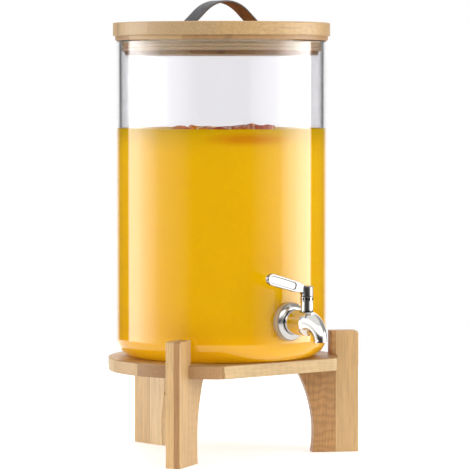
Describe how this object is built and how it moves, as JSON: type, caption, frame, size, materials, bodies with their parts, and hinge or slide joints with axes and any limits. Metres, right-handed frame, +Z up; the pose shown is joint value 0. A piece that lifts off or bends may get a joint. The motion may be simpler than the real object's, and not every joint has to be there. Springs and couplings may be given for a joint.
{
  "type": "drinks dispenser",
  "caption": "Glass countertop drinks dispenser with a bamboo lid, leather strap, steel side tap and a bamboo stand on board legs.",
  "frame": {"origin": "centre of the stand at the level of the worktop", "axes": "+Z up, -Y out along the tap, so the handle turns about an axis parallel to Z"},
  "size_m": [0.2208, 0.264, 0.411],
  "materials": {
    "bamboo": "satin lacquered laminated bamboo",
    "beech": "plain turned beech",
    "clear_glass": "clear polished",
    "silicone": "translucent grey moulded",
    "stainless_polished": "mirror polished",
    "ptfe": "white turned",
    "black_rubber": "matt moulded",
    "zinc_screw": "bright zinc plated",
    "leather": "dark grey grained face, brown flesh side"
  },
  "bodies": {
    "stand": {"stand_platform": "bamboo", "leg_front_left": "bamboo", "leg_front_right": "bamboo", "leg_rear": "bamboo", "leg_dowels": "beech"},
    "jar": {"glass_jar": "clear_glass", "tap_gasket_outer": "silicone", "tap_gasket_inner": "silicone", "tap_washer": "stainless_polished", "tap_lock_nut": "stainless_polished", "tap_shank": "stainless_polished", "tap_flange": "stainless_polished", "tap_body": "stainless_polished", "valve_seat": "ptfe", "stem_collar": "stainless_polished"},
    "tap_handle": {"valve_plug": "stainless_polished", "valve_o_rings": "black_rubber", "tap_lever": "stainless_polished", "lever_screw": "zinc_screw"},
    "lid": {"lid_disc": "bamboo", "lid_plug": "bamboo", "lid_seal": "silicone", "strap_handle": "leather", "strap_screws": "zinc_screw"}
  },
  "joints": [
    {"name": "jar_lift", "type": "slide", "parent": "stand", "child": "jar", "axis": [0, 0, 1], "range_m": [0, 0.06]},
    {"name": "handle_turn", "type": "hinge", "parent": "jar", "child": "tap_handle", "pos_m": [0, -0.1161, 0.145], "axis": [0, 0, 1], "range_deg": [0, 90]},
    {"name": "lid_lift", "type": "slide", "parent": "jar", "child": "lid", "axis": [0, 0, 1], "range_m": [0, 0.12]}
  ]
}
